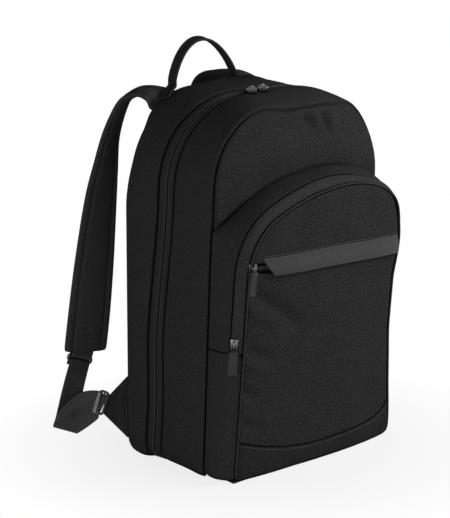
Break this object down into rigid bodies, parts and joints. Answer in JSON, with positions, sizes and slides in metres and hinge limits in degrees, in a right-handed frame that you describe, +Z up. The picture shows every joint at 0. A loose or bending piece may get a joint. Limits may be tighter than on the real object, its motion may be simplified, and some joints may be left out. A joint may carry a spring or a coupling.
{
  "type": "school backpack",
  "caption": "Padded school backpack with a wrap-round zip, domed front pocket, flap-covered slip pocket, carrying handle and adjustable shoulder straps.",
  "frame": {"origin": "on the floor under the bag, mid-width, at the point named base on the base panel", "axes": "+X to the right seen from the front, +Y towards the wearer's back, +Z up"},
  "size_m": [0.322, 0.3378, 0.4955],
  "materials": {
    "body_fabric": "woven, matt",
    "front_fabric": "woven, matt",
    "flap_fabric": "coated, satin",
    "mesh_pad": "spacer mesh over foam",
    "lining": "plain lining",
    "zip_tape": "woven tape with nylon coil",
    "webbing": "ribbed webbing",
    "plastic": "moulded, glossy",
    "metal": "plated zinc",
    "rubber": "moulded, matt"
  },
  "bodies": {
    "back": {"back_panel": "body_fabric", "back_pads": "mesh_pad", "back_gusset": "body_fabric", "base_panel": "body_fabric", "main_zip_rear": "zip_tape", "laptop_sleeve": "lining", "handle_feet": "webbing", "corner_tab_left": "body_fabric", "corner_tab_right": "body_fabric"},
    "front": {"front_gusset": "body_fabric", "front_panel": "front_fabric", "front_piping": "body_fabric", "main_zip_front": "zip_tape", "pocket_gusset": "body_fabric", "pocket_front_lower": "front_fabric", "base_band": "body_fabric", "pocket_zip_outer": "zip_tape"},
    "pocket_lid": {"pocket_front_upper": "front_fabric", "pocket_edge": "body_fabric", "pocket_zip_inner": "zip_tape", "slip_zip": "zip_tape", "slip_lining": "lining", "flap_root": "flap_fabric"},
    "flap": {"zip_flap": "flap_fabric"},
    "handle": {"top_handle": "webbing"},
    "strap_left": {"strap_pad_left": "body_fabric", "strap_loop_left": "webbing", "strap_ring_left": "plastic", "strap_webbing_left": "webbing"},
    "strap_right": {"strap_pad_right": "body_fabric", "strap_loop_right": "webbing", "strap_ring_right": "plastic", "strap_webbing_right": "webbing"},
    "adjuster_left": {"adjuster_left": "plastic"},
    "adjuster_right": {"adjuster_right": "plastic"},
    "main_slider_left": {"main_slider_left": "metal"},
    "main_slider_right": {"main_slider_right": "metal"},
    "main_pull_left": {"main_pull_left": "rubber"},
    "main_pull_right": {"main_pull_right": "rubber"},
    "pocket_slider": {"pocket_slider": "metal"},
    "pocket_pull": {"pocket_pull": "rubber"},
    "slip_slider": {"slip_slider": "metal"},
    "slip_pull": {"slip_pull": "rubber"}
  },
  "joints": [
    {"name": "main_opening", "type": "hinge", "parent": "back", "child": "front", "pos_m": [0, -0.0925, 0], "axis": [1, 0, 0], "range_deg": [0, 35]},
    {"name": "pocket_opening", "type": "hinge", "parent": "front", "child": "pocket_lid", "pos_m": [0, -0.10262, 0.12677], "axis": [1, 0, 0], "range_deg": [0, 100]},
    {"name": "flap_lift", "type": "hinge", "parent": "pocket_lid", "child": "flap", "pos_m": [0, -0.12037, 0.26425], "axis": [-0.9981, -0.0053, 0.0608], "range_deg": [0, 100]},
    {"name": "handle_fold", "type": "hinge", "parent": "back", "child": "handle", "pos_m": [0, 0.097, 0.4473], "axis": [1, 0, 0], "range_deg": [-35, 80], "stiffness_Nm_per_rad": 0.05},
    {"name": "strap_left_swing", "type": "hinge", "parent": "back", "child": "strap_left", "pos_m": [-0.093, 0.0869, 0.421], "axis": [0.8821, 0, 0.4711], "range_deg": [-8, 10], "stiffness_Nm_per_rad": 2, "deforming": ["strap_webbing_left"]},
    {"name": "strap_right_swing", "type": "hinge", "parent": "back", "child": "strap_right", "pos_m": [0.093, 0.0869, 0.421], "axis": [0.8821, 0, -0.4711], "range_deg": [-8, 10], "stiffness_Nm_per_rad": 2, "deforming": ["strap_webbing_right"]},
    {"name": "adjuster_left_pivot", "type": "hinge", "parent": "back", "child": "adjuster_left", "pos_m": [-0.147, 0.11918, 0.04459], "axis": [0, -0.5878, 0.809], "range_deg": [-25, 25], "deforming": ["strap_webbing_left"]},
    {"name": "adjuster_right_pivot", "type": "hinge", "parent": "back", "child": "adjuster_right", "pos_m": [0.147, 0.11918, 0.04459], "axis": [0, -0.5878, 0.809], "range_deg": [-25, 25], "deforming": ["strap_webbing_right"]},
    {"name": "main_slider_left_run", "type": "slide", "parent": "front", "child": "main_slider_left", "axis": [-1, 0, 0], "range_m": [0, 0.027]},
    {"name": "main_slider_right_run", "type": "slide", "parent": "front", "child": "main_slider_right", "axis": [1, 0, 0], "range_m": [0, 0.027]},
    {"name": "main_pull_left_swing", "type": "hinge", "parent": "main_slider_left", "child": "main_pull_left", "pos_m": [-0.0095, 0.00677, 0.4428], "axis": [-0.6947, 0.7193, 0], "range_deg": [0, 85]},
    {"name": "main_pull_right_swing", "type": "hinge", "parent": "main_slider_right", "child": "main_pull_right", "pos_m": [0.0095, 0.00677, 0.4428], "axis": [-0.6947, 0.7193, 0], "range_deg": [0, 85]},
    {"name": "pocket_slider_run", "type": "slide", "parent": "pocket_lid", "child": "pocket_slider", "axis": [0, -0.0872, 0.9962], "range_m": [0, 0.072]},
    {"name": "pocket_pull_swing", "type": "hinge", "parent": "pocket_slider", "child": "pocket_pull", "pos_m": [-0.1399, -0.10098, 0.17108], "axis": [-1, 0, 0], "range_deg": [0, 100]},
    {"name": "slip_slider_run", "type": "hinge", "parent": "pocket_lid", "child": "slip_slider", "pos_m": [0, 1.2363, 0.37039], "axis": [0.0611, -0.087, 0.9943], "range_deg": [0, 9.9]},
    {"name": "slip_pull_swing", "type": "hinge", "parent": "slip_slider", "child": "slip_pull", "pos_m": [-0.1213, -0.11031, 0.26003], "axis": [-0.9941, 0.0839, 0.0684], "range_deg": [0, 95]}
  ]
}
